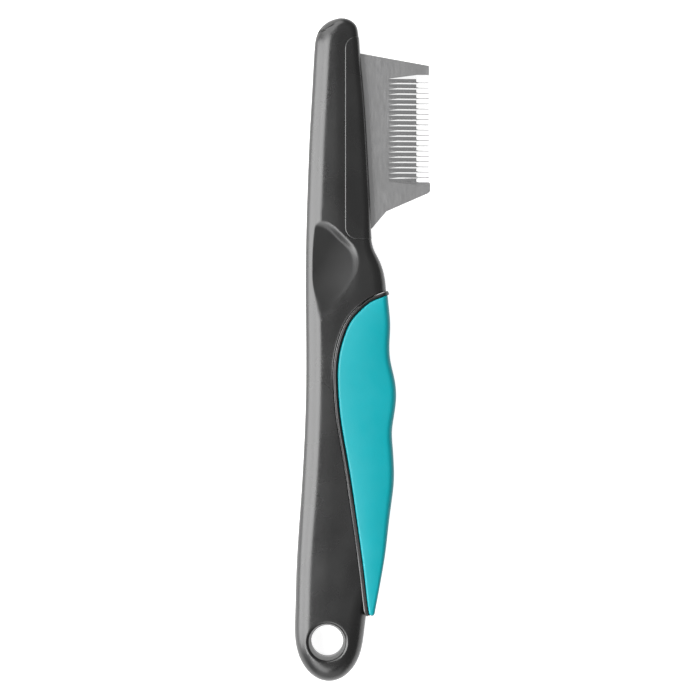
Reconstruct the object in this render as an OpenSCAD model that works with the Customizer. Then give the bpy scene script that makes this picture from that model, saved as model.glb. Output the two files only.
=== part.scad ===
// Flea comb: a steel blade clamped in a two-shell handle with a soft grip.
//
// The comb lies on its side. +Y runs along it to the head, +X points to the
// teeth and +Z goes up through its thickness. The origin is the middle of the
// rectangle that it covers, on the face that it lies on.

/* [Handle] */
// Thickness of the handle and the grip
thickness = 11; // [10.6:0.1:12]
// Rounding of the spine and tail edges
spine_r = 4.3; // [3.8:0.1:4.4]
// Rounding of the edge that the blade stands out of
front_r = 1.9; // [1.2:0.1:2]
// Rounding of the neck's edge between the blade and the grip
neck_r = 3.4; // [2.5:0.1:3.6]
// Thickness of the shells' front wall
wall = 1.8; // [1.5:0.1:2]
// Gap between two ribs inside the tail
rib_gap = 12; // [9:1:14]
// Thickness of a rib
rib_t = 1.2; // [0.8:0.1:1.6]

/* [Thumb dish] */
// Half of the dish's width
dish_a = 6.6; // [5:0.1:6.8]
// Half of the dish's length
dish_b = 14; // [10:0.5:15]
// Depth of the dish at its middle
dish_depth = 1.1; // [0.8:0.1:1.6]

/* [Hanging hole] */
// Radius of the hole at its narrowest
hole_r = 4.35; // [3.5:0.05:4.6]
// Length of the narrowest stretch, through both shells
hole_waist = 5; // [4:0.5:7]
// Radius of the hole just below each mouth's bevel
mouth_r = 4.95; // [4.7:0.05:5.2]
// Width and depth of the bevel round each mouth
hole_lip = 0.8; // [0.4:0.1:0.9]

/* [Blade] */
// Thickness of the steel
blade_t = 1.6; // [1.4:0.1:1.8]
// Number of gaps between the teeth
gaps = 20; // [16:1:20]
// Distance from one gap to the next
pitch = 1.43; // [1.4:0.01:1.5]
// Thickness of a tooth, seen from the side
tooth_w = 0.34; // [0.3:0.01:0.45]
// Width of the floor of the ground groove that leads to each gap
groove_w = 0.75; // [0.6:0.05:0.8]
// Slope of the groove's flanks away from upright
flank = 52; // [45:1:56]
// Radius of the dowels through the tang
dowel_r = 0.9; // [0.7:0.05:1]

/* [Blade carrier] */
// Corner radius of the carrier's face
carrier_r = 3.2; // [2:0.1:4]
// Thickness of the tongue on each half, hidden in the shells
tongue_t = 2.2; // [1.6:0.1:2.6]
// Radius of the shells' pegs through the tongue
peg_r = 1.2; // [1:0.05:1.4]

/* [Grip] */
// Rounding of the grip's finger side
grip_r = 2; // [1.6:0.1:3]
// Width of the rim between the shells and the soft grip
rim_w = 1.2; // [0.9:0.1:1.4]
// Half thickness of the shells' core inside the grip
core_h = 2.6; // [2.4:0.1:2.8]
// Thickness of the frame round the core
frame_t = 1.1; // [0.9:0.1:1.2]
// Radius of the shell screws' shafts
screw_r = 0.95; // [0.8:0.05:1]

/* [Hidden] */
$fn = 48;
b = thickness / 2;
far = 40;
fit_gap = 0.02;

// Tail end: half of an ellipse
tail_mid = [-9.1, -77];
tail_size = [9.3, 13];
tail = [for (a = [-10:-20:-170]) tail_mid + [tail_size.x * cos(a), tail_size.y * sin(a)]];
// Spine edge, from the tail to the head
spine = [[-18.4, -72], [-18.1, -61], [-17.5, -50], [-16.7, -39], [-16, -27], [-15.5, -14], [-15.4, 0],
         [-15.5, 15], [-15.4, 30], [-15, 44], [-14.5, 57], [-13.9, 68], [-13.4, 77], [-13.1, 82]];
// Round the head, from the spine to the front edge
head = [[-12.6, 85.1], [-11.1, 87.7], [-8.7, 89.4], [-5.9, 90], [-3.4, 89.4], [-1.8, 88], [-1.2, 85.8]];
// Front edge, from the head to the tail; below the neck it is inside the grip
front = [[-0.8, 81], [0.1, 71], [0.9, 60], [1.6, 47], [2.1, 36], [2.3, 31], [2.9, 27.7], [4.5, 24.4],
         [5.7, 21.1], [6.3, 17.3], [6.6, 11], [7, 0], [7.2, -14], [7, -28], [6.2, -42], [4.8, -54],
         [3, -64], [1.1, -71.5]];
handle_line = closed_curve(concat(spine, head, front, tail), 3);

// Finger side of the grip, from above its top end to below its bottom end
finger_side = [[6.5, 20], [6.8, 15], [7.2, 11], [7.5, 6.5], [7.3, 1.5], [7.5, -2.5], [8.3, -6.2],
               [9, -10], [9.1, -13], [8.6, -17.5], [8, -22], [8.2, -26.5], [8.5, -31.5], [8.5, -35.5],
               [7.9, -41], [7, -48], [6.1, -55.5], [5, -62], [3.8, -68.5], [3, -73], [2, -80]];
// Wide round loop on the handle's side, so that the grip's slab is flat up to its edge
far_side = [[-1.5, -87], [-9, -90.5], [-16.5, -86.5], [-20, -76], [-20, -40], [-20, -8], [-20, 22],
            [-16.5, 31], [-8, 34.5], [0.5, 31.5], [5, 26]];
grip_line = closed_curve(concat(finger_side, far_side), 3);

// Edge of the soft grip across the face, from its top corner to its bottom end
grip_edge = open_curve([[9.6, 15.6], [6.4, 14.7], [3.1, 13.4], [-0.4, 10.8], [-2.9, 8], [-4.7, 4.3],
                        [-5.9, 0.3], [-6.6, -4.5], [-6.6, -10], [-6, -17.8], [-4.6, -26.5],
                        [-3.1, -35.5], [-1.8, -44.5], [-0.5, -53.5], [0.6, -62], [1.7, -71]], 4);
seat_edge = beside(grip_edge, -rim_w);
grip_end = -71.8;
seat_end = -72.7;
// Edge of the shells' core inside the grip
core_edge = open_curve([[3.4, 19], [3.3, 9], [3.4, 0], [4.4, -9], [4.2, -20], [4.4, -32], [3.4, -43],
                        [2, -54], [0.8, -62], [-0.8, -70], [-2, -76]], 3);
frame_edge = beside(core_edge, frame_t);
frame_h = core_h + frame_t;

// Face of the blade carrier
carrier_low = [-4.8, 29.9];
carrier_high = [8, 84.8];
tongue_low = [-10, 37];
tongue_high = [-4, 80];
pegs = [[-7.4, 44], [-7.4, 74]];

// Blade
tang_x = -3.6;
lug_x = 18.4;
groove_x = 7.1;
gap_x = 14.7;
row_low = 45.5;
row_high = row_low + gaps * pitch;
dowels = [[-1.6, 41], [-1.6, 58], [-1.6, 75]];
dowel_reach = 3;

hole = [-9.6, -79];
dish_mid = [-6.9, 22];
screws = [[-1, 2], [-1, -16], [0.2, -34]];
screw_head_r = 2;
screw_head_h = 1.2;
screw_reach = 2;

// A point on the smooth curve from p1 to p2, with p0 before them and p3 after
function between(p0, p1, p2, p3, t) = 0.5 * (2 * p1 + (p2 - p0) * t
    + (2 * p0 - 5 * p1 + 4 * p2 - p3) * t * t + (3 * p1 - p0 - 3 * p2 + p3) * t * t * t);
function closed_curve(p, steps) = let (n = len(p))
    [for (i = [0:n - 1], j = [0:steps - 1])
        between(p[(i + n - 1) % n], p[i], p[(i + 1) % n], p[(i + 2) % n], j / steps)];
function open_curve(p, steps) = let (last = len(p) - 1)
    concat([for (i = [0:last - 1], j = [0:steps - 1])
        between(p[max(i - 1, 0)], p[i], p[i + 1], p[min(i + 2, last)], j / steps)], [p[last]]);
// Unit vector to the right of the way from a to c
function right_of(a, c) = let (d = (c - a) / norm(c - a)) [d.y, -d.x];
// The same open curve, moved to its left where w is positive as it runs down
function beside(p, w) = let (last = len(p) - 1)
    [for (i = [0:last]) p[i] - right_of(p[max(i - 1, 0)], p[min(i + 1, last)]) * w];
function reversed(p) = [for (i = [len(p) - 1:-1:0]) p[i]];
function limited(t) = min(max(t, 0), 1);
// Edge rounding at a point of the handle's outline: spine_r, easing to neck_r
// at the neck and to front_r beside the blade
function handle_r(p) = let (f = front_r + (neck_r - front_r) * limited((36 - p.y) / 20))
    spine_r + (f - spine_r) * limited((p.x + 11) / 7) * limited((p.y + 75) / 20);
// x on the spine edge at a height y
function spine_x(y) = lookup(y, [for (p = spine) [p.y, p.x]]);
function seat_x(y) = lookup(y, [for (p = seat_edge) if (p.x < 2) [p.y, p.x]]);

// Slab with rounded edges over a clockwise outline p, whose edge radius at
// point i is r[i]: from the middle up, or through both halves. It is built a
// little too thick and then cut flat.
module rounded_slab(p, r, both = false) {
    n = len(p);
    spare = 0.06;
    function ring(a, side) = [for (i = [0:n - 1])
        let (q = p[i] + right_of(p[(i + n - 1) % n], p[(i + 1) % n]) * r[i] * (1 - cos(a)))
        [q.x, q.y, side * (b - r[i] + (r[i] + spare) * sin(a))]];
    low = both ? [for (a = [90:-18:0]) ring(a, -1)] : [[for (q = p) [q.x, q.y, -1]]];
    rings = concat(low, [for (a = [0:18:90]) ring(a, 1)]);
    top = (len(rings) - 1) * n;
    intersection() {
        polyhedron([for (one = rings) each one], concat(
            [[for (i = [n - 1:-1:0]) i], [for (i = [0:n - 1]) top + i]],
            [for (k = [0:n:top - n], i = [0:n - 1]) let (j = (i + 1) % n)
                each [[k + j, k + n + j, k + n + i], [k + j, k + n + i, k + i]]]));
        translate([-far, -3 * far, both ? -b : 0]) cube([2 * far, 6 * far, both ? thickness : b]);
    }
}

module slice(p, low, high) {
    translate([0, 0, low]) linear_extrude(high - low) polygon(p);
}

module handle_slab(both = false) {
    rounded_slab(handle_line, [for (p = handle_line) handle_r(p)], both);
}

module grip_slab() {
    rounded_slab(grip_line, [for (p = grip_line) grip_r], both = true);
}

// Everything on the finger side of a line that runs from the head to the tail
module finger_side_of(line, y_end, low, high) {
    top = line[0].y;
    slice(concat([for (p = line) if (p.y > y_end) p], [[far, y_end], [far, top]]), low, high);
}

module seat(low, high) {
    finger_side_of(seat_edge, seat_end, low, high);
}

module carrier_face(low, high) {
    translate([0, 0, low]) linear_extrude(high - low) {
        for (y = [carrier_low.y + carrier_r, carrier_high.y - carrier_r])
            translate([carrier_low.x + carrier_r, y]) circle(carrier_r);
        translate([carrier_low.x, carrier_low.y + carrier_r])
            square([carrier_high.x - carrier_low.x, carrier_high.y - carrier_low.y - 2 * carrier_r]);
        translate([carrier_low.x + carrier_r, carrier_low.y])
            square([carrier_high.x - carrier_low.x - carrier_r, carrier_high.y - carrier_low.y]);
    }
}

module thumb_dish() {
    // A ring of round section whose inside arcs fit the dish's width and length
    across_r = (dish_a * dish_a + dish_depth * dish_depth) / (2 * dish_depth);
    along_r = (dish_b * dish_b + dish_depth * dish_depth) / (2 * dish_depth);
    translate([dish_mid.x, dish_mid.y, b - dish_depth + along_r]) rotate([0, 90, 0])
        rotate_extrude($fn = 180) translate([along_r - across_r, 0]) circle(across_r, $fn = 120);
}

module hang_hole() {
    flare_z = hole_waist / 2;
    lip_z = b - hole_lip;
    translate(hole) {
        translate([0, 0, -1]) cylinder(r = hole_r, h = b + 2);
        translate([0, 0, flare_z]) cylinder(r1 = hole_r, r2 = mouth_r, h = lip_z - flare_z);
        translate([0, 0, lip_z]) cylinder(r1 = mouth_r, r2 = mouth_r + 2 * hole_lip, h = 2 * hole_lip);
    }
}

// Spaces inside one shell: the tail between its ribs, under the dish, and the head
module shell_pockets() {
    roof = b - wall;
    side = 3;
    for (y = [-66:rib_gap:-20]) {
        ends = [y, min(y + rib_gap - rib_t, -13)];
        rows = [for (t = [0:0.5:1]) ends[0] + (ends[1] - ends[0]) * t];
        slice(concat([for (v = rows) [spine_x(v) + side, v]],
                     [for (v = reversed(rows)) [seat_x(v) - 1.6, v]]), -1, roof);
    }
    slice([[-12.4, 5], [-12.4, 31], [-0.5, 31], [2.4, 23], [-2.5, 15.5], [-8.4, 7]], -1,
          b - dish_depth - wall);
    rows = [34, 50, 66, 82];
    slice(concat([for (v = rows) [spine_x(v) + side, v]], [[carrier_low.x, 82], [carrier_low.x, 34]]),
          -1, roof);
}

// One shell from the middle up. The screws' heads sink into the front one.
module shell(shaft_r, head_r) {
    difference() {
        handle_slab();
        carrier_face(-1, b + 1);
        seat(core_h, b + 1);
        intersection() {
            seat(-1, b + 1);
            finger_side_of(core_edge, -90, -2, b + 2);
        }
        shell_pockets();
        thumb_dish();
        hang_hole();
        for (s = screws) translate(s) {
            translate([0, 0, -1]) cylinder(r = shaft_r, h = far);
            if (head_r > 0) translate([0, 0, core_h - screw_head_h]) cylinder(r = head_r, h = far);
        }
    }
    for (p = pegs) translate([p.x, p.y, 0.1]) cylinder(r = peg_r, h = b - wall);
}

module handle_front_shell() {
    color("#2b2b2d") shell(screw_r + 0.2, screw_head_r + 0.1);
}

module handle_back_shell() {
    color("#2b2b2d") mirror([0, 0, 1]) shell(screw_r, 0);
}

// Face, tongue and blade pocket of one half of the carrier
module carrier_half() {
    difference() {
        union() {
            intersection() {
                handle_slab();
                carrier_face(-1, b + 1);
            }
            slice([tongue_low, [tongue_low.x, tongue_high.y], tongue_high, [tongue_high.x, tongue_low.y]],
                  0, tongue_t);
        }
        blade_plate(-1, blade_t / 2);
        for (d = dowels) translate([d.x, d.y, -1]) cylinder(r = dowel_r + fit_gap, h = dowel_reach + 1.05);
        for (p = pegs) translate([p.x, p.y, -1]) cylinder(r = peg_r + 0.05, h = far);
    }
}

module blade_carrier_front() {
    color("#303032") carrier_half();
}

module blade_carrier_back() {
    color("#303032") mirror([0, 0, 1]) carrier_half();
}

module blade_plate(low, high) {
    slice([[tang_x, 33], [tang_x, 81.2], [18.1, row_high + 3.2], [18.1, row_low], [lug_x, row_low],
           [lug_x, 43.2], [17.8, 42.6], [6.5, 37.7], [2.5, 33]], low, high);
}

// Flared groove with its floor's middle at the origin, running along +X
module groove(length) {
    high = 4;
    flare = high * tan(flank);
    rotate([90, 0, 90]) linear_extrude(length)
        polygon([[-groove_w / 2, 0], [groove_w / 2, 0], [groove_w / 2 + flare, high],
                 [-groove_w / 2 - flare, high]]);
}

// One gap of the row, ground from both faces and then opened to the tip
module gap() {
    run = gap_x - groove_x;
    dive = atan(blade_t / 2 / run);
    half_open = (pitch - tooth_w) / 2;
    for (side = [0, 1]) mirror([0, 0, side]) {
        translate([groove_x, 0, blade_t / 2]) rotate([0, dive, 0]) groove(run / cos(dive));
        translate([gap_x, 0, -0.01]) groove(far);
    }
    slice([[gap_x, -groove_w / 2], [gap_x + 0.7, -half_open], [far, -half_open], [far, half_open],
           [gap_x + 0.7, half_open], [gap_x, groove_w / 2]], -blade_t, blade_t);
}

module blade() {
    color("#9a9a9c") difference() {
        blade_plate(-blade_t / 2, blade_t / 2);
        for (i = [0:gaps - 1]) translate([0, row_low + (i + 0.5) * pitch, 0]) gap();
        for (d = dowels) translate([d.x, d.y, -blade_t]) cylinder(r = dowel_r + fit_gap, h = 2 * blade_t);
    }
}

module tang_dowels() {
    color("silver") for (d = dowels)
        translate([d.x, d.y, -dowel_reach]) cylinder(r = dowel_r, h = 2 * dowel_reach);
}

module frame_saddle() {
    intersection() {
        finger_side_of(grip_edge, grip_end, -frame_h, frame_h);
        slice(concat([[-far, core_edge[0].y]], frame_edge, [[-far, -80]]), -frame_h - 1, frame_h + 1);
    }
}

module grip_frame() {
    color("#1f1f21") difference() {
        intersection() {
            grip_slab();
            union() {
                difference() {
                    seat(-b - 1, b + 1);
                    finger_side_of(grip_edge, grip_end, -b - 2, b + 2);
                }
                frame_saddle();
            }
        }
        slice(concat([[-far, core_edge[0].y]], core_edge, [[-far, -80]]), -core_h, core_h);
    }
}

module soft_grip() {
    color("#14b4c0") difference() {
        intersection() {
            grip_slab();
            finger_side_of(grip_edge, grip_end, -b - 1, b + 1);
        }
        frame_saddle();
    }
}

module shell_screws() {
    color("silver") for (s = screws) translate([s.x, s.y, 0]) {
        translate([0, 0, -screw_reach]) cylinder(r = screw_r, h = screw_reach + core_h - screw_head_h);
        translate([0, 0, core_h - screw_head_h]) cylinder(r = screw_head_r, h = screw_head_h - 0.05);
    }
}

// The nodes are modelled about the middle of the thickness and stood on z = 0
module placed() {
    translate([0, 0, b]) children();
}

placed() handle_front_shell();
placed() handle_back_shell();
placed() blade();
placed() blade_carrier_front();
placed() blade_carrier_back();
placed() tang_dowels();
placed() grip_frame();
placed() soft_grip();
placed() shell_screws();
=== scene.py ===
import math

import bmesh
import bpy
import numpy as np
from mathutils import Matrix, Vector, kdtree
from mathutils.geometry import delaunay_2d_cdt


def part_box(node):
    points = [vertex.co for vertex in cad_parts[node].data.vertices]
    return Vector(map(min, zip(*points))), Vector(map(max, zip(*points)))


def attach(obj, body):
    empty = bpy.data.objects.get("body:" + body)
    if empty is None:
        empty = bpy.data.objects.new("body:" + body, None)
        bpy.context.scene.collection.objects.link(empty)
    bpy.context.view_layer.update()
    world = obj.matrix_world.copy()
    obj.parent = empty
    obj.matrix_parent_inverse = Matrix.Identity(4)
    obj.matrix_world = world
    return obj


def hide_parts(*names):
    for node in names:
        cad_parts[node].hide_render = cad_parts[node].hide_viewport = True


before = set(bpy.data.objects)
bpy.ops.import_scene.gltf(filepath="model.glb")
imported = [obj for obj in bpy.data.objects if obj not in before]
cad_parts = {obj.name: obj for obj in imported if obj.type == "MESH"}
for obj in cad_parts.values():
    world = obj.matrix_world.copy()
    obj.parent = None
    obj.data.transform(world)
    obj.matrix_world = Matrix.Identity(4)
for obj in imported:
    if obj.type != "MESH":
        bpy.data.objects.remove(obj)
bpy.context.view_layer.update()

# The comb lies on its side: +Y runs to the head, +X to the teeth, +Z up. Shapes
# are worked out in millimetres about the middle of the thickness, then placed.
MM = 0.001
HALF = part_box("handle_front_shell")[1][2] / MM / 2


# ---------------------------------------------------------------- the outlines

TAIL_MID = (-9.1, -77)
TAIL_SIZE = (9.3, 13)
SPINE = [(-18.4, -72), (-18.1, -61), (-17.5, -50), (-16.7, -39), (-16, -27), (-15.5, -14), (-15.4, 0),
         (-15.5, 15), (-15.4, 30), (-15, 44), (-14.5, 57), (-13.9, 68), (-13.4, 77), (-13.1, 82)]
HEAD = [(-12.6, 85.1), (-11.1, 87.7), (-8.7, 89.4), (-5.9, 90), (-3.4, 89.4), (-1.8, 88), (-1.2, 85.8)]
FRONT = [(-0.8, 81), (0.1, 71), (0.9, 60), (1.6, 47), (2.1, 36), (2.3, 31), (2.9, 27.7), (4.5, 24.4),
         (5.7, 21.1), (6.3, 17.3), (6.6, 11), (7, 0), (7.2, -14), (7, -28), (6.2, -42), (4.8, -54),
         (3, -64), (1.1, -71.5)]
FINGER_SIDE = [(6.5, 20), (6.8, 15), (7.2, 11), (7.5, 6.5), (7.3, 1.5), (7.5, -2.5), (8.3, -6.2),
               (9, -10), (9.1, -13), (8.6, -17.5), (8, -22), (8.2, -26.5), (8.5, -31.5), (8.5, -35.5),
               (7.9, -41), (7, -48), (6.1, -55.5), (5, -62), (3.8, -68.5), (3, -73), (2, -80)]
GRIP_EDGE = [(6.5, 14.75), (3.1, 13.4), (-0.4, 10.8), (-2.9, 8), (-4.7, 4.3), (-5.9, 0.3), (-6.6, -4.5),
             (-6.6, -10), (-6, -17.8), (-4.6, -26.5), (-3.1, -35.5), (-1.8, -44.5), (-0.5, -53.5),
             (0.6, -62), (1.7, -71)]
FAR_SIDE = [(-1.5, -87), (-9, -90.5), (-16.5, -86.5), (-20, -76), (-20, -40), (-20, -8), (-20, 22),
            (-16.5, 31), (-8, 34.5), (0.5, 31.5), (5, 26)]
CORE_EDGE = [(3.4, 19), (3.3, 9), (3.4, 0), (4.4, -9), (4.2, -20), (4.4, -32), (3.4, -43), (2, -54),
             (0.8, -62), (-0.8, -70), (-2, -76)]
CARRIER = {"left": -4.8, "low": 29.9, "high": 84.8, "corner": 3.2}
HOLE_MID = (-9.6, -79)
DISH_RIM = [(-10.6, 35.2), (-7.6, 33.7), (-4.9, 31.2), (-2.5, 28.9), (-0.9, 26.2), (-0.4, 23), (-0.8, 19.3),
            (-2.2, 15.5), (-4.4, 12), (-7.2, 9.2), (-10.2, 7.2), (-13.4, 6.6), (-16.5, 10), (-17.5, 22),
            (-16.5, 31), (-13.4, 35)]

SPINE_R = 4.3
FRONT_R = 1.9
NECK_R = 3.4
GRIP_R = 1.6
GRIP_END_R = 0.8
RIM_W = 1.2


def unit(v):
    return v / np.maximum(np.linalg.norm(v, axis=-1, keepdims=True), 1e-12)


def smooth(t):
    """0 up to t = 0 and 1 from t = 1 on, with a soft step between."""
    t = np.clip(t, 0, 1)
    return t * t * (3 - 2 * t)


def ramp(value, start, end):
    """A soft step that is 0 up to start and 1 from end on, in either direction."""
    return smooth((value - start) / (end - start))


def spline(points, step, closed=False):
    """Points about step apart on the smooth curve through the given ones."""
    p = np.array(points, float)
    if closed:
        p = np.vstack([p, p[:1]])
    t = np.concatenate([[0], np.cumsum(np.linalg.norm(np.diff(p, axis=0), axis=1))])
    h = np.diff(t)
    n = len(p)
    a, rhs = np.zeros((n, n)), np.zeros((n, 2))
    for i in range(1, n - 1):
        a[i, i - 1:i + 2] = h[i - 1], 2 * (h[i - 1] + h[i]), h[i]
        rhs[i] = 6 * ((p[i + 1] - p[i]) / h[i] - (p[i] - p[i - 1]) / h[i - 1])
    if closed:
        a[0, 0], a[0, -1] = 1, -1
        a[-1, :2] += [2 * h[0], h[0]]
        a[-1, -2:] += [h[-1], 2 * h[-1]]
        rhs[-1] = 6 * ((p[1] - p[0]) / h[0] - (p[-1] - p[-2]) / h[-1])
    else:
        a[0, 0] = a[-1, -1] = 1
    m = np.linalg.solve(a, rhs)
    s = np.linspace(0, t[-1], max(int(t[-1] / step), 4) + 1)
    i = np.clip(np.searchsorted(t, s, "right") - 1, 0, n - 2)
    u, v, hi = (s - t[i])[:, None], (t[i + 1] - s)[:, None], h[i][:, None]
    q = (m[i] * v ** 3 + m[i + 1] * u ** 3) / (6 * hi) + (p[i] / hi - m[i] * hi / 6) * v
    q += (p[i + 1] / hi - m[i + 1] * hi / 6) * u
    return q[:-1] if closed else q


def arc(mid, radius, a0, a1, step=0.3):
    n = max(int(abs(a1 - a0) * math.pi / 180 * radius / step), 3)
    a = np.radians(np.linspace(a0, a1, n + 1))
    return np.stack([mid[0] + radius * np.cos(a), mid[1] + radius * np.sin(a)], 1)


def evenly(line, count):
    """The same open line as count points at equal distances."""
    s = np.concatenate([[0], np.cumsum(np.linalg.norm(np.diff(line, axis=0), axis=1))])
    t = np.linspace(0, s[-1], count)
    return np.stack([np.interp(t, s, line[:, 0]), np.interp(t, s, line[:, 1])], 1)


def resample(line, step):
    """The same open line with points every step along it."""
    length = np.cumsum(np.linalg.norm(np.diff(line, axis=0), axis=1))[-1]
    return evenly(line, max(int(round(length / step)), 1) + 1)


def beside(line, w):
    """An open line moved by w to its left."""
    d = np.gradient(line, axis=0)
    return line + unit(np.stack([-d[:, 1], d[:, 0]], 1)) * w


def inside(points, loop):
    """Which points lie inside a closed loop."""
    x, y = points[:, 0], points[:, 1]
    hit = np.zeros(len(points), bool)
    for (x0, y0), (x1, y1) in zip(loop, np.roll(loop, -1, 0)):
        if y0 != y1:
            cross = (y0 > y) != (y1 > y)
            hit ^= cross & (x < x0 + (y - y0) * (x1 - x0) / (y1 - y0))
    return hit


# The spine's edge is a soft bevel: its tilt in degrees at shares of its width
BEVEL_AT = [0, 0.05, 0.14, 0.3, 0.5, 0.68, 0.8, 0.9, 1]
BEVEL_TILT = [88, 66, 50, 40, 31, 23, 15, 8, 3]
bevel_s = np.linspace(0, 1, 401)
bevel_slope = np.tan(np.radians(np.interp(bevel_s, BEVEL_AT, BEVEL_TILT)))
bevel_table = np.concatenate([[0], np.cumsum((bevel_slope[1:] + bevel_slope[:-1]) / 2 / 400)])
bevel_table = bevel_table[-1] - bevel_table


def bevel_fall(share):
    """How far the bevel has fallen at a share of its width from the outline."""
    return np.interp(share, bevel_s, bevel_table)


def bevel_share(foot):
    """1 along the spine from the grip's middle to the head, 0 round the rest."""
    x, y = foot[:, 0], foot[:, 1]
    return ramp(x, -10.5, -12) * ramp(y, -62, -32) * ramp(y, 88, 85)


def distance_to(points, line):
    """Distance of each point from the nearest point of a densely sampled line."""
    tree = kdtree.KDTree(len(line))
    for i, (x, y) in enumerate(line):
        tree.insert((x, y, 0), i)
    tree.balance()
    return np.array([tree.find((x, y, 0))[2] for x, y in points])


class Outline:
    """A closed clockwise outline with rounded edges. Its skin coordinates unroll the
    rounding and the wall below it outwards, so that one flat net covers them all."""
    STEP = 0.05

    def __init__(self, points, radius):
        self.p = spline(points, self.STEP, closed=True)
        self.tangent = unit(np.roll(self.p, -1, 0) - np.roll(self.p, 1, 0))
        self.inward = np.stack([self.tangent[:, 1], -self.tangent[:, 0]], 1)
        self.r = radius(self.p)
        self.tree = kdtree.KDTree(len(self.p))
        for i, (x, y) in enumerate(self.p):
            self.tree.insert((x, y, 0), i)
        self.tree.balance()

    def foot(self, q):
        """Nearest point, inward normal, edge radius and depth inside, for each point."""
        i = np.array([self.tree.find((x, y, 0))[1] for x, y in q])
        along = ((q - self.p[i]) * self.tangent[i]).sum(1)
        share = np.clip(along / self.STEP, -1, 1)[:, None]
        j = (i + np.sign(share[:, 0]).astype(int)) % len(self.p)
        foot = self.p[i] + self.tangent[i] * along[:, None]
        inward = unit(self.inward[i] * (1 - abs(share)) + self.inward[j] * abs(share))
        return foot, inward, self.r[i], ((q - foot) * inward).sum(1)

    def unroll(self, q):
        foot, inward, r, depth = self.foot(q)
        w = r * (math.pi / 2 - np.arccos(1 - np.clip(depth, 0, r) / r))
        return np.where((depth >= r)[:, None], q, foot - inward * (w - r)[:, None])

    def roll(self, p):
        """Skin coordinates to plan position, height above the middle and inner depth."""
        foot, inward, r, c = self.foot(p)
        w = r - c
        lift = math.pi / 2 - np.clip(w / r, 0, math.pi / 2)
        depth = r * (1 - np.cos(lift))
        share = bevel_share(foot)
        fall = r * ((1 - share) * (1 - np.sin(lift)) + share * bevel_fall(depth / r))
        foot_z = HALF - r * (1 - share + share * bevel_fall(0.0))
        z = np.where(w > r * math.pi / 2, foot_z * (1 - (w - r * math.pi / 2) / (HALF - r)), HALF - fall)
        xy = np.where((w <= 0)[:, None], p, foot + inward * depth[:, None])
        return xy, z, np.where(w <= 0, c, depth), inward, lift

    def line(self, w_share, step, wall=0.0):
        """The skin line at a share of the rounding's length, wall mm down the wall below."""
        keep = slice(None, None, max(int(step / self.STEP), 1))
        w = self.r * math.pi / 2 * w_share + wall
        return (self.p - self.inward * (w - self.r)[:, None])[keep]

    def mid_line(self, step, above=0.0):
        """The skin line that lies on the middle plane, or a little above it."""
        keep = slice(None, None, max(int(step / self.STEP), 1))
        w = self.r * math.pi / 2 + HALF - self.r - above
        return (self.p - self.inward * (w - self.r)[:, None])[keep]


def handle_radius(p):
    """Edge radius: large along the spine and the tail, small down the front."""
    x, y = p[:, 0], p[:, 1]
    front = FRONT_R + (NECK_R - FRONT_R) * ramp(y, 36, 16)
    return SPINE_R + (front - SPINE_R) * ramp(x, -11, -4) * ramp(y, -75, -55)


def tail_points():
    angles = [math.radians(a) for a in range(-10, -171, -20)]
    return [(TAIL_MID[0] + TAIL_SIZE[0] * math.cos(a), TAIL_MID[1] + TAIL_SIZE[1] * math.sin(a))
            for a in angles]


def finger_radius(p):
    """Edge radius of the grip, smaller towards its thin lower end."""
    return GRIP_END_R + (GRIP_R - GRIP_END_R) * ramp(p[:, 1], -66, -36)


handle = Outline(SPINE + HEAD + FRONT + tail_points(), handle_radius)
finger = Outline(FINGER_SIDE + FAR_SIDE, finger_radius)


# ---------------------------------------------------------------- surface heights

PART_LINE = 0.12
CROWN = 0.30
CROWN_W = 9.0


def crown(depth):
    """How far the broad face falls away towards the edge."""
    return CROWN * (1 - smooth(depth / CROWN_W))


class Dish:
    """The thumb dish: deepest beside the spine, it rises towards the lower right, ends
    in a steep bank at the upper right and fades out below."""
    DEEPEST, RISE_TURN = (-13.0, 21.0), math.radians(30)
    WIDTH, DEPTH, END_DEPTH = 9.9, 1.14, 0.1
    RISE_POWER = 1.7
    BANK_W, LOW_BANK_W = 2.3, 4.7
    EDGE_R, LOW_EDGE_R = 0.08, 0.48
    FLOOR_FROM = 0.12

    def __init__(self):
        self.rim = spline(DISH_RIM, 0.1, closed=True)

    def cut(self, xy, face):
        """The face's height with the dish cut into it, and the share of dish floor."""
        x, y = xy[:, 0], xy[:, 1]
        right, up = x - self.DEEPEST[0], y - self.DEEPEST[1]
        rise = right * math.cos(self.RISE_TURN) - up * math.sin(self.RISE_TURN)
        across = np.clip(rise / self.WIDTH, 0, 1)
        fade = (1 - (np.maximum(y - 24, 0) / 17) ** 2) * ramp(y, 6, 20)
        sunk = (1 - across ** self.RISE_POWER) * fade
        floor = HALF - self.END_DEPTH - (self.DEPTH - self.END_DEPTH) * sunk
        bank_width = self.BANK_W + (self.LOW_BANK_W - self.BANK_W) * ramp(y, 22, 10)
        bank = smooth(distance_to(xy, self.rim) / bank_width) * inside(xy, self.rim)
        edge = self.EDGE_R + (self.LOW_EDGE_R - self.EDGE_R) * ramp(y, 20, 6)
        z = face + (soft_min(face, floor, edge) - face) * bank
        return z, smooth((face - z) / self.FLOOR_FROM) * bank ** (2 * ramp(y, 24, 28))


dish = Dish()


def soft_min(a, b, k):
    """The smaller of two heights, with the corner between them rounded over k."""
    h = np.clip(0.5 + 0.5 * (b - a) / k, 0, 1)
    return b * (1 - h) + a * h - k * h * (1 - h)


CAP_MID, CAP_TURN = np.array([-9.05, 87.5]), math.radians(26.7)
CAP_R = 3.0


def beyond_crease(xy):
    """Distance past the crease across the head, towards its upper left end."""
    away = xy - CAP_MID
    across = -away[:, 0] * math.sin(CAP_TURN) + away[:, 1] * math.cos(CAP_TURN)
    along = away[:, 0] * math.cos(CAP_TURN) + away[:, 1] * math.sin(CAP_TURN)
    return across + 0.12 * np.cos(along * 1.2), along


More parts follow.
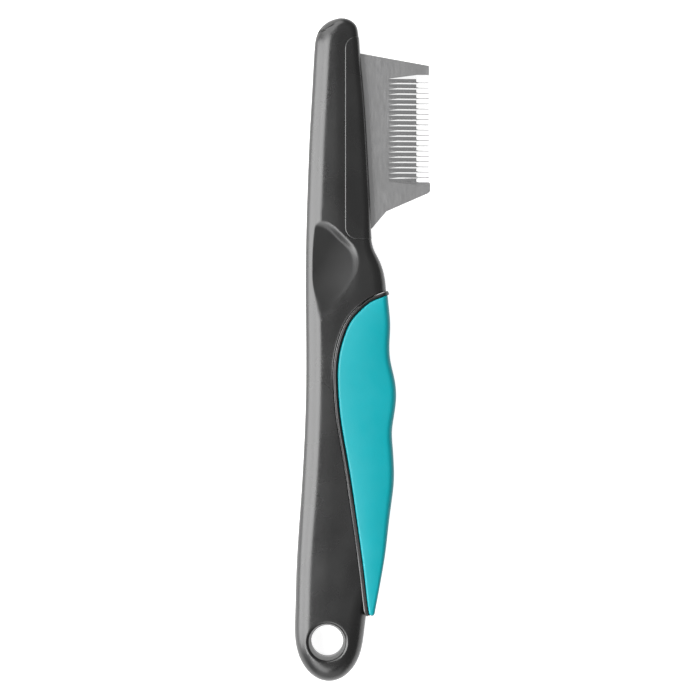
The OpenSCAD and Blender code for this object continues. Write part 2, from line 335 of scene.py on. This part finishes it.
def with_cap(xy, z, depth):
    """The head's end stands a little prouder than the spine's bevel, with a crease."""
    across, along = beyond_crease(xy)
    d = np.clip(depth, 0, CAP_R)
    fuller = HALF - CAP_R + np.sqrt(np.maximum(CAP_R ** 2 - (CAP_R - d) ** 2, 0)) - crown(depth)
    share = ramp(across, -0.14, 0.14) * ramp(along, 2.6, 1.0)
    return np.where(z > 0.5, z + (np.maximum(fuller, z) - z) * share, z)


def rounded_drop(distance, radius):
    """How far an edge of a given radius falls at a distance inside its foot."""
    e = np.clip(distance, 0, radius)
    return radius - np.sqrt(np.maximum(radius ** 2 - (radius - e) ** 2, 0))


def handle_surface(skin, fall):
    """3-D points of the handle's skin, let down by fall, and the share of the thumb
    dish's floor in each."""
    xy, z, depth, inward, lift = handle.roll(skin)
    z = with_cap(xy, z - crown(depth) * np.sin(lift), depth)
    z, share = dish.cut(xy, z)
    xy = xy + inward * (PART_LINE * smooth(1 - z / PART_LINE))[:, None]
    xy = xy + inward * (fall * np.cos(lift))[:, None]
    return np.column_stack([xy, z - fall * np.sin(lift)]), share


# ---------------------------------------------------------------- flat nets

class Net:
    """Points and fixed lines in a plane, joined into triangles."""

    def __init__(self):
        self.points, self.edges = [], []

    def line(self, points, closed=False):
        n = len(self.points)
        self.points += [tuple(p) for p in points]
        last = len(points) if closed else len(points) - 1
        self.edges += [(n + i, n + (i + 1) % len(points)) for i in range(last)]

    def scatter(self, points, clear):
        """Loose points, left out where they come within clear of a fixed line's point."""
        tree = kdtree.KDTree(len(self.points))
        for i, (x, y) in enumerate(self.points):
            tree.insert((x, y, 0), i)
        tree.balance()
        self.points += [(x, y) for x, y in points if tree.find((x, y, 0))[2] > clear]

    def triangles(self):
        verts, _, faces, _, _, _ = delaunay_2d_cdt([Vector(p) for p in self.points], self.edges, [], 0, 1e-5)
        return np.array([tuple(v) for v in verts]), np.array([tuple(f) for f in faces])


def hexagonal(low, high, pitch):
    """Points of a triangular lattice over a rectangle."""
    rows = np.arange(low[1], high[1], pitch * math.sqrt(0.75))
    cols = np.arange(low[0], high[0], pitch)
    return np.array([(x + (pitch / 2 if j % 2 else 0), y) for j, y in enumerate(rows) for x in cols])


def picked(verts, faces, mask):
    """The faces under a mask with only the vertices that they use."""
    faces = faces[mask]
    used, flat = np.unique(faces, return_inverse=True)
    return verts[used], flat.reshape(faces.shape)


def rim_loops(faces):
    """The loops of directed edges that only one face has."""
    edges = {(int(a), int(b)) for f in faces for a, b in zip(f, np.roll(f, -1))}
    after = {a: b for a, b in edges if (b, a) not in edges}
    loops = []
    while after:
        start, here = next(iter(after.items()))
        loop = [start]
        del after[start]
        while here != start and here in after:
            loop.append(here)
            here = after.pop(here)
        loops.append(loop)
    return loops


class Solid:
    """Vertices in millimetres about the middle of the thickness, faces, and the
    share of thumb dish floor at each vertex."""

    def __init__(self):
        self.verts, self.faces, self.share = [], [], []

    def add(self, verts, faces, share=None):
        n = len(self.verts)
        self.verts += [tuple(float(c) for c in v) for v in verts]
        self.faces += [tuple(int(i) + n for i in f) for f in faces]
        self.share += [0.0] * len(verts) if share is None else [float(s) for s in share]

    def flat(self, loops):
        """A flat face with holes on the middle plane inside some closed loops."""
        net = Net()
        for loop in loops:
            net.line(loop, closed=True)
        verts, faces = net.triangles()
        mids = verts[faces].mean(1)
        keep = np.zeros(len(faces), bool)
        for loop in loops:
            keep ^= inside(mids, np.array(loop))
        self.add(np.column_stack([verts, np.zeros(len(verts))]), faces[keep][:, ::-1])

    def sweep(self, sections):
        """A closed tube through equal rings of 3-D points, with flat ends."""
        sections = np.array(sections)
        m, n = sections.shape[:2]
        quads = [(k * n + i, k * n + (i + 1) % n, (k + 1) * n + (i + 1) % n, (k + 1) * n + i)
                 for k in range(m - 1) for i in range(n)]
        ends = [tuple(range(n))[::-1], tuple((m - 1) * n + i for i in range(n))]
        self.add(sections.reshape(-1, 3), quads + ends)

    def mirrored(self):
        """The same solid on the other side of the middle plane."""
        other = Solid()
        other.add([(x, y, -z) for x, y, z in self.verts], [f[::-1] for f in self.faces], self.share)
        return other

    def piece(self, name, material, body="root", sharp=38):
        """The solid as an object in metres, standing on the floor."""
        mesh = bpy.data.meshes.new(name)
        verts = (np.array(self.verts) + [0, 0, HALF]) * MM
        mesh.from_pydata(verts.tolist(), [], self.faces)
        mask = mesh.attributes.new("dish", "FLOAT", "POINT")
        mask.data.foreach_set("value", self.share)
        work = bmesh.new()
        work.from_mesh(mesh)
        bmesh.ops.remove_doubles(work, verts=work.verts, dist=2e-6)
        bmesh.ops.dissolve_degenerate(work, edges=work.edges, dist=1e-7)
        bmesh.ops.recalc_face_normals(work, faces=work.faces)
        work.to_mesh(mesh)
        work.free()
        mesh.shade_smooth()
        mesh.set_sharp_from_angle(angle=math.radians(sharp))
        mesh.materials.append(material)
        piece = bpy.data.objects.new(name, mesh)
        bpy.context.scene.collection.objects.link(piece)
        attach(piece, body)
        return piece


# ---------------------------------------------------------------- the shared skin of one side

def reach_out(cut):
    """A plan line in skin coordinates, run on outwards past the edge at both ends."""
    skin = handle.unroll(cut)
    ends = []
    for p in (cut[0], cut[-1]):
        foot, inward, r, _ = handle.foot(np.array([p]))
        top = r[0] * math.pi / 2 - r[0]
        ends.append([foot[0] - inward[0] * (top + k) for k in np.arange(0.3, HALF - r[0] + 1.5, 0.4)])
    return np.array(ends[0][::-1] + list(skin) + ends[1])


def inside_part(line):
    """The stretch of a plan line that lies inside the handle's outline."""
    return line[handle.foot(line)[3] > 0.02]


corner = CARRIER["corner"]
mid_x = CARRIER["left"] + corner
carrier_plan = resample(np.vstack([
    [(4, CARRIER["high"])], arc((mid_x, CARRIER["high"] - corner), corner, 90, 180),
    arc((mid_x, CARRIER["low"] + corner), corner, 180, 270), [(6, CARRIER["low"])]]), 0.1)
carrier_cut = reach_out(inside_part(carrier_plan))
carrier_area = np.vstack([carrier_cut, [(14, 29), (14, 86)]])

grip_line = spline([(9.6, 15.6)] + GRIP_EDGE, 0.1)
seat_plan = np.vstack([beside(grip_line, -RIM_W), [(0.75, -71.9), (1.4, -72.4), (3, -72.7)]])
seat_cut = reach_out(inside_part(resample(seat_plan, 0.1)))
seat_area = np.vstack([seat_cut, [(16, -74), (18, 17)]])

MOUTH_OUTER_R = 5.75
MOUTH_R = 4.95
MOUTH_LIP = 0.8
WAIST_R = 4.35
WAIST_HALF = 2.5
mouth_plan = np.array(HOLE_MID) + MOUTH_OUTER_R * arc((0, 0), 1, 0, 360, 0.03)[:-1]
mouth_cut = handle.unroll(mouth_plan)

net = Net()
net.line(handle.mid_line(0.6), closed=True)
net.line(handle.mid_line(0.6, PART_LINE), closed=True)
for share in (0.0, 1.0):
    net.line(handle.line(share, 0.6), closed=True)
# fine rows of points along the joints, where the edges are rounded
for cut in (carrier_cut, seat_cut):
    base = resample(cut, 0.3)
    for w in (0, 0.016, 0.048, 0.104, 0.2, 0.31, 0.43, 0.56):
        net.line(beside(base, w))
        if w:
            net.line(beside(base, -w))
# the dish's rim, rolled so that the stretch clear of the spine is in one piece
dish_rim = np.roll(dish.rim, 80, axis=0)
dish_rim = resample(dish_rim[dish_rim[:, 0] > -11.3], 0.3)
for w in (0, 0.1, 0.25, 0.5, 0.85, 1.3):
    net.line(beside(dish_rim, -w))
crease_along = np.arange(-4.0, 3.2, 0.2)
for w in (-0.16, -0.08, 0, 0.08, 0.16):
    crease = CAP_MID + np.outer(crease_along, [math.cos(CAP_TURN), math.sin(CAP_TURN)])
    crease += np.outer(w - 0.12 * np.cos(crease_along * 1.2), [-math.sin(CAP_TURN), math.cos(CAP_TURN)])
    net.line(handle.unroll(inside_part(crease)))
net.line(mouth_cut, closed=True)
# loose points: rows round the edge, a lattice over the face, a finer one at the dish
loose = [handle.line(share, 0.6) for share in np.arange(0.1, 0.95, 0.1)]
loose += [handle.line(1.0, 0.6, wall) for wall in (0.6, 1.2, 1.8, 2.4, 3.0)]
plan = hexagonal((-18.5, -90), (8, 90), 0.85)
depth = handle.foot(plan)[3]
loose.append(plan[depth > handle_radius(plan) + 0.25])
near_dish = hexagonal((-17.5, 5), (1.5, 38), 0.27)
loose.append(near_dish[handle.foot(near_dish)[3] > -2])
net.scatter(np.vstack(loose), 0.13)
skin, skin_faces = net.triangles()
mids = skin[skin_faces].mean(1)
on_handle = inside(mids, handle.mid_line(0.1))
on_carrier = on_handle & inside(mids, carrier_area)
on_seat = on_handle & inside(mids, seat_area)
on_hole = inside(mids, mouth_cut)


def skin_solid(mask, fall):
    """One side of a piece: its part of the skin, let down by fall(points), walls down
    from its edges, and an inner face on the middle plane."""
    verts, faces = picked(skin, skin_faces, mask)
    points, share = handle_surface(verts, fall(verts))
    solid = Solid()
    solid.add(points, faces[:, ::-1] if upside_down(points, faces) else faces, share)
    loops = []
    for loop in rim_loops(np.array(solid.faces)):
        edge = np.array(solid.verts)[loop]
        is_mouth = np.linalg.norm(edge[:, :2] - HOLE_MID, axis=1).max() < MOUTH_OUTER_R + 0.5
        rings = bore_rings(edge) if is_mouth else [edge, edge * [1, 1, 0]]
        n, m = len(loop), len(rings)
        quads = [(k * n + i, (k + 1) * n + i, (k + 1) * n + (i + 1) % n, k * n + (i + 1) % n)
                 for k in range(m - 1) for i in range(n)]
        solid.add(np.vstack(rings), quads)
        loops.append(rings[-1][:, :2])
    solid.flat(loops)
    return solid


def bore_rings(edge):
    """The hanging hole from its mouth down to the middle: a rounded lip, a tapered
    wall, a straight waist and half of the fine groove between the shells."""
    away = unit(edge[:, :2] - HOLE_MID)

    def ring(radius, z):
        return np.column_stack([np.array(HOLE_MID) + away * radius, z])
    z = edge[:, 2]
    turns = [math.radians(a) for a in range(15, 91, 15)]
    rings = [edge] + [ring(MOUTH_R + (MOUTH_OUTER_R - MOUTH_R) * (1 - math.sin(a)),
                           z - MOUTH_LIP * (1 - math.cos(a))) for a in turns]
    rings += [ring(WAIST_R, np.full(len(z), h)) for h in (WAIST_HALF, PART_LINE)]
    return rings + [ring(WAIST_R + PART_LINE, np.zeros(len(z)))]


def upside_down(points, faces):
    a, b, c = points[faces[:, 0]], points[faces[:, 1]], points[faces[:, 2]]
    return np.cross(b - a, c - a)[:, 2].sum() < 0


SHELL_LIP = 0.2
JOINT_LIP = 0.048
CARRIER_LIP = 0.31
CARRIER_PROUD = 0.1
RIDGE = 0.05


def shell_fall(verts):
    """Fine rounded edges at the joints, and a low ridge beside the grip's upper end."""
    seat_distance = distance_to(verts, resample(seat_cut, 0.02))
    carrier_distance = distance_to(verts, resample(carrier_cut, 0.02))
    fall = rounded_drop(seat_distance, SHELL_LIP) + rounded_drop(carrier_distance, JOINT_LIP)
    beside_neck = ramp(verts[:, 1], -12, -4) * ramp(verts[:, 0], 4.5, 0.5)
    return fall - RIDGE * beside_neck * ramp(seat_distance, 0.56, 0.1)


def carrier_fall(verts):
    """A rounded edge along the joint. The carrier stands slightly proud of the shell."""
    return rounded_drop(distance_to(verts, resample(carrier_cut, 0.02)), CARRIER_LIP) - CARRIER_PROUD


shell = skin_solid(on_handle & ~on_carrier & ~on_seat & ~on_hole, shell_fall)
carrier = skin_solid(on_carrier, carrier_fall)


# ---------------------------------------------------------------- soft grip and its frame

ROWS = 280
CORE_HALF = 2.6
FRAME_HALF = 3.7
FRAME_T = 1.1
GRIP_LIP = 0.5
GRIP_CROWN = 1.5
CROWN_AT = 0.4
GRIP_SUNK = 0.03
GRIP_TIP_R = 0.8
RIM_TIP_R = 0.6
RIM_INNER, RIM_OUTER = 0.14, 1.08
RIM_MID = (RIM_INNER + RIM_OUTER) / 2
RIM_SUNK = 0.12

edge_path = spline([(7.3, 15.2)] + GRIP_EDGE + [(1.85, -71.9)], 0.05)
side = finger.p[(finger.p[:, 0] > 0) & (finger.p[:, 1] < 15.0) & (finger.p[:, 1] > -72.0)]
core_line = spline(CORE_EDGE, 0.5)


# rows across the grip: row_a lies on the rim's side, row_b on the fingers' side
row_a = evenly(edge_path, ROWS)
row_b = evenly(side, ROWS)
row_out = unit(np.stack([np.gradient(row_a[:, 1]), -np.gradient(row_a[:, 0])], 1))
row_step = np.linalg.norm(row_a[1] - row_a[0])
core_x = np.interp(-row_a[:, 1], -core_line[:, 1], core_line[:, 0])
row_width = np.linalg.norm(row_b - row_a, axis=1)
# row_share is how far across the grip the frame's rail reaches
row_share = np.clip((core_x + FRAME_T - row_a[:, 0]) / np.maximum(row_width, 0.1), 0.12, 0.8)
row_c = row_a + (row_b - row_a) * row_share[:, None]


def end_round(distance, radius):
    """Share of its full width that a rounded end has at a distance from its tip."""
    return math.sqrt(max(1 - max(1 - distance / radius, 0) ** 2, 0.02))


def finger_height(q):
    """Height of the grip's rounded slab, and how deep inside its outline each point is."""
    _, _, r, depth = finger.foot(q)
    d = np.clip(depth, 0, r)
    return HALF - r + np.sqrt(np.maximum(r ** 2 - (r - d) ** 2, 0)), depth


def handle_height(q):
    """Height of the handle's own face, as if it ran on under the grip."""
    _, _, r, depth = handle.foot(q)
    d = np.clip(depth, 0, r)
    z = HALF - r + np.sqrt(np.maximum(r ** 2 - (r - d) ** 2, 0)) - crown(np.maximum(depth, 0))
    return np.where(depth > 0, z, 0)


def both_sides(top):
    """Top points of a section and then the same points below, in reverse."""
    return list(top) + [p * [1, 1, -1] for p in top[::-1]]


def grip_sections():
    """Rings round the soft grip, from its top corner to its rounded lower end."""
    shares = (1 - np.cos(np.linspace(0, math.pi, 41))) / 2
    sections = []
    for j in range(2, ROWS):
        a, b = row_a[j], row_b[j]
        width = row_width[j]
        full = end_round((ROWS - 1 - j) * row_step, GRIP_TIP_R)
        mid = (a + b) / 2
        q = mid + (a - mid) * full + np.outer(shares, (b - a) * full)
        z = finger_height(q)[0]
        z = z - GRIP_SUNK - GRIP_CROWN * (shares - CROWN_AT) ** 2 * min(width / 12, 1)
        z -= rounded_drop(shares * width * full, GRIP_LIP)
        z -= 0.6 * (1 - full)
        inner = min(FRAME_HALF + 0.02, z[0] - 0.2)
        c = q[0] + (q[-1] - q[0]) * row_share[j]
        hollow = [np.array([*p, h]) for p, h in ((q[0], -inner), (c, -inner), (c, inner), (q[0], inner))]
        sections.append(both_sides(np.column_stack([q, z])) + hollow)
    return sections


def rim_profile(y):
    """Across the rim at a height y: distance out from the grip's edge, and drop. It is
    half round above and a nearly flat slope below."""
    roundness = ramp(y, -45, -20)
    half = (RIM_OUTER - RIM_INNER) / 2
    mirrored = [1, 1, 0.97, 0.87, 0.7, 0.45, 0.15]
    u = RIM_MID + half * np.array(mirrored + [-v for v in mirrored[::-1]])
    bead = half - np.sqrt(np.maximum(half ** 2 - (u - RIM_MID) ** 2, 0))
    slope = 0.08 * np.clip((u - RIM_INNER) / (2 * half), 0, 1) + 0.12 * np.abs((u - RIM_MID) / half) ** 12
    foot = np.zeros(len(u))
    foot[[0, -1]] = 0.4
    return u, RIM_SUNK + roundness * bead + (1 - roundness) * slope + foot


def rim_sections():
    """Rings round the frame: the rim that shows and the plates that hold the grip."""
    sections = []
    for j in range(ROWS):
        a, out = row_a[j], row_out[j]
        u, drop = rim_profile(a[1])
        full = end_round((ROWS - 1 - j) * row_step, RIM_TIP_R) * end_round(j * row_step + 0.15, RIM_TIP_R)
        q = a + np.outer(RIM_MID + (u - RIM_MID) * full, out)
        z = np.maximum(handle_height(q), finger_height(q)[0] - 0.1).mean() - drop - 0.5 * (1 - full)
        low = min(CORE_HALF, z.min() - 0.4)
        plate = min(FRAME_HALF, z.min() - 0.1)
        c = row_c[j]
        hollow = np.clip((a[0] - 3.2) / -1.5, 0.02, 1) * end_round((ROWS - 1 - j) * row_step, 3)
        inside_wall = q[0] + (c - q[0]) * max(1 - FRAME_T / np.linalg.norm(c - q[0]), 0.02) * hollow
        top = [np.array([*q[0], low])] + list(np.column_stack([q, z]))
        top += [np.array([*q[-1], plate]), np.array([*c, plate])]
        sections.append(both_sides(top) + [np.array([*inside_wall, -low]), np.array([*inside_wall, low])])
    return sections


grip = Solid()
grip.sweep(grip_sections())
rim = Solid()
rim.sweep(rim_sections())


# ---------------------------------------------------------------- materials

class Finish:
    """A node material in the making: a principled shader and short ways to feed it."""

    def __init__(self, name, color, roughness, metallic=0.0):
        self.material = bpy.data.materials.new(name)
        self.material.use_nodes = True
        self.tree = self.material.node_tree
        self.shader = self.tree.nodes["Principled BSDF"]
        self.shader.inputs["Base Color"].default_value = (*color, 1)
        self.shader.inputs["Roughness"].default_value = roughness
        self.shader.inputs["Metallic"].default_value = metallic
        self.where = self.tree.nodes.new("ShaderNodeTexCoord").outputs["Object"]

    def link(self, a, b):
        self.tree.links.new(a, b)

    def noise(self, scale, detail=2.0, stretch=(1, 1, 1)):
        place = self.tree.nodes.new("ShaderNodeMapping")
        place.inputs["Scale"].default_value = stretch
        self.link(self.where, place.inputs["Vector"])
        node = self.tree.nodes.new("ShaderNodeTexNoise")
        node.inputs["Scale"].default_value = scale
        node.inputs["Detail"].default_value = detail
        self.link(place.outputs["Vector"], node.inputs["Vector"])
        return node.outputs["Fac"]

    def spread(self, value, low, high, source=(0.3, 0.7)):
        node = self.tree.nodes.new("ShaderNodeMapRange")
        node.inputs["From Min"].default_value, node.inputs["From Max"].default_value = source
        node.inputs["To Min"].default_value, node.inputs["To Max"].default_value = low, high
        self.link(value, node.inputs["Value"])
        return node.outputs["Result"]

    def blend_color(self, value, color_a, color_b):
        node = self.tree.nodes.new("ShaderNodeMix")
        node.data_type = "RGBA"
        node.inputs["A"].default_value = (*color_a, 1)
        node.inputs["B"].default_value = (*color_b, 1)
        self.link(value, node.inputs["Factor"])
        return node.outputs["Result"]

    def math(self, kind, a, b):
        node = self.tree.nodes.new("ShaderNodeMath")
        node.operation = kind
        for socket, value in zip(node.inputs, (a, b)):
            if isinstance(value, (int, float)):
                socket.default_value = value
            else:
                self.link(value, socket)
        return node.outputs["Value"]

    def dish(self):
        node = self.tree.nodes.new("ShaderNodeAttribute")
        node.attribute_name = "dish"
        return node.outputs["Fac"]

    def bump(self, height, distance, strength=1.0):
        node = self.tree.nodes.new("ShaderNodeBump")
        node.inputs["Strength"].default_value = strength
        node.inputs["Distance"].default_value = distance
        self.link(height, node.inputs["Height"])
        self.link(node.outputs["Normal"], self.shader.inputs["Normal"])

    def feed(self, socket, value):
        self.link(value, self.shader.inputs[socket])


def black_plastic(name, tone, roughness, shine=0.5):
    """Satin moulded plastic with a fine spark-eroded grain, duller in the thumb dish."""
    f = Finish(name, (tone, tone, tone), roughness)
    fine = f.noise(6000, 3)
    broad = f.noise(70, 4)
    dish_share = f.dish()
    f.feed("Base Color", f.blend_color(f.spread(broad, 0, 1), (tone * 0.85,) * 3, (tone * 1.2,) * 3))
    uneven = f.spread(broad, roughness - 0.02, roughness + 0.03)
    f.feed("Roughness", f.math("ADD", uneven, f.math("MULTIPLY", dish_share, 0.08)))
    f.feed("Specular IOR Level", f.math("SUBTRACT", shine, f.math("MULTIPLY", dish_share, 0.28)))
    coarse = f.math("MULTIPLY", f.noise(2300, 2), f.math("MULTIPLY", dish_share, 0.3))
    f.bump(f.math("ADD", f.math("MULTIPLY", fine, 0.35), coarse), 0.000012)
    return f.material


def soft_rubber():
    """Turquoise soft-touch rubber, a little uneven in tint and gloss."""
    f = Finish("soft_grip_rubber", (0.0, 0.26, 0.30), 0.5)
    f.shader.inputs["Specular IOR Level"].default_value = 0.25
    broad = f.noise(45, 3)
    f.feed("Base Color", f.blend_color(f.spread(broad, 0, 1), (0.0, 0.172, 0.195), (0.0, 0.184, 0.21)))
    f.feed("Roughness", f.spread(f.noise(300, 3), 0.37, 0.44))
    f.bump(f.noise(3000, 3), 0.000018)
    return f.material


def satin_steel(name, tone):
    """Steel ground lengthwise: its fine streaks run along Y."""
    f = Finish(name, (tone, tone, tone), 0.24, metallic=1.0)
    streaks = f.noise(2600, 4, stretch=(1, 0.12, 1))
    broad = f.noise(45, 4)
    dark, light = (tone * 0.93,) * 3, (tone * 1.05, tone * 1.05, tone * 1.06)
    f.feed("Base Color", f.blend_color(f.spread(broad, 0, 1), dark, light))
    f.feed("Roughness", f.spread(streaks, 0.2, 0.25))
    f.bump(streaks, 0.000003)
    return f.material


handle_black = black_plastic("handle_black", 0.0075, 0.27)
carrier_black = black_plastic("carrier_black", 0.0075, 0.27)
rim_black = black_plastic("rim_black", 0.007, 0.3, shine=0.32)
grip_teal = soft_rubber()
blade_steel = satin_steel("blade_steel", 0.68)
pin_steel = satin_steel("pin_steel", 0.55)


# ---------------------------------------------------------------- pieces

def add_piece(solid, node, material):
    piece = solid.piece(node + "_skin", material)
    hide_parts(node)
    return piece


add_piece(shell, "handle_front_shell", handle_black)
add_piece(shell.mirrored(), "handle_back_shell", handle_black)
add_piece(carrier, "blade_carrier_front", carrier_black)
add_piece(carrier.mirrored(), "blade_carrier_back", carrier_black)
add_piece(rim, "grip_frame", rim_black)
add_piece(grip, "soft_grip", grip_teal)

for node_name, steel in (("blade", blade_steel), ("tang_dowels", pin_steel), ("shell_screws", pin_steel)):
    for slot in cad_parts[node_name].material_slots:
        slot.material = steel


# ---------------------------------------------------------------- studio

def camera():
    """Straight above the comb, where the photographer's lens was."""
    distance = 0.7
    data = bpy.data.cameras.new("camera")
    data.sensor_width = 36
    data.lens = 36 * distance / 0.1906
    data.clip_end = 20
    view = bpy.data.objects.new("camera", data)
    view.location = (-0.0034, 0, HALF * MM + distance)
    bpy.context.scene.collection.objects.link(view)
    bpy.context.scene.camera = view


def floor():
    mesh = bpy.data.meshes.new("floor")
    mesh.from_pydata([(-3, -3, 0), (3, -3, 0), (3, 3, 0), (-3, 3, 0)], [], [(0, 1, 2, 3)])
    paper = Finish("paper", (0.5, 0.5, 0.5), 0.9)
    paper.shader.inputs["Emission Color"].default_value = (1, 1, 1, 1)
    paper.shader.inputs["Emission Strength"].default_value = 0.92
    mesh.materials.append(paper.material)
    piece = bpy.data.objects.new("floor", mesh)
    bpy.context.scene.collection.objects.link(piece)


def softbox(name, low, high, reach, radiance, azimuth=180, distance=0.9):
    """An area light that faces the comb from a side. It spans two polar angles from
    straight up, and reaches so many degrees to each side; radiance is its brightness."""
    polar, half = math.radians((low + high) / 2), math.radians((high - low) / 2)
    turn = math.radians(azimuth)
    flat = math.sin(polar)
    at = Vector((flat * math.cos(turn), flat * math.sin(turn), math.cos(polar))) * distance
    data = bpy.data.lights.new(name, "AREA")
    data.shape = "RECTANGLE"
    data.size = 2 * distance * math.tan(math.radians(reach))
    data.size_y = 2 * distance * math.tan(half)
    data.energy = radiance * math.pi * data.size * data.size_y
    light = bpy.data.objects.new(name, data)
    light.location = at
    light.rotation_euler = (-at).to_track_quat("-Z", "Y").to_euler()
    light.visible_camera = False
    bpy.context.scene.collection.objects.link(light)


def sky(strength):
    world = bpy.data.worlds.new("studio")
    world.use_nodes = True
    back = world.node_tree.nodes["Background"]
    back.inputs["Color"].default_value = (1, 1, 1, 1)
    back.inputs["Strength"].default_value = strength
    bpy.context.scene.world = world


camera()
floor()
sky(0.27)
softbox("left_high", 18, 50, 22, 10.0)
softbox("left_low", 51, 88, 22, 9.0)
softbox("head_left", 40, 85, 24, 4.0, azimuth=124)
softbox("tail_high", 26, 54, 17, 5.0, azimuth=243)
softbox("tail_end", 50, 85, 30, 1.2, azimuth=-90)
bpy.context.scene.view_settings.view_transform = "Standard"
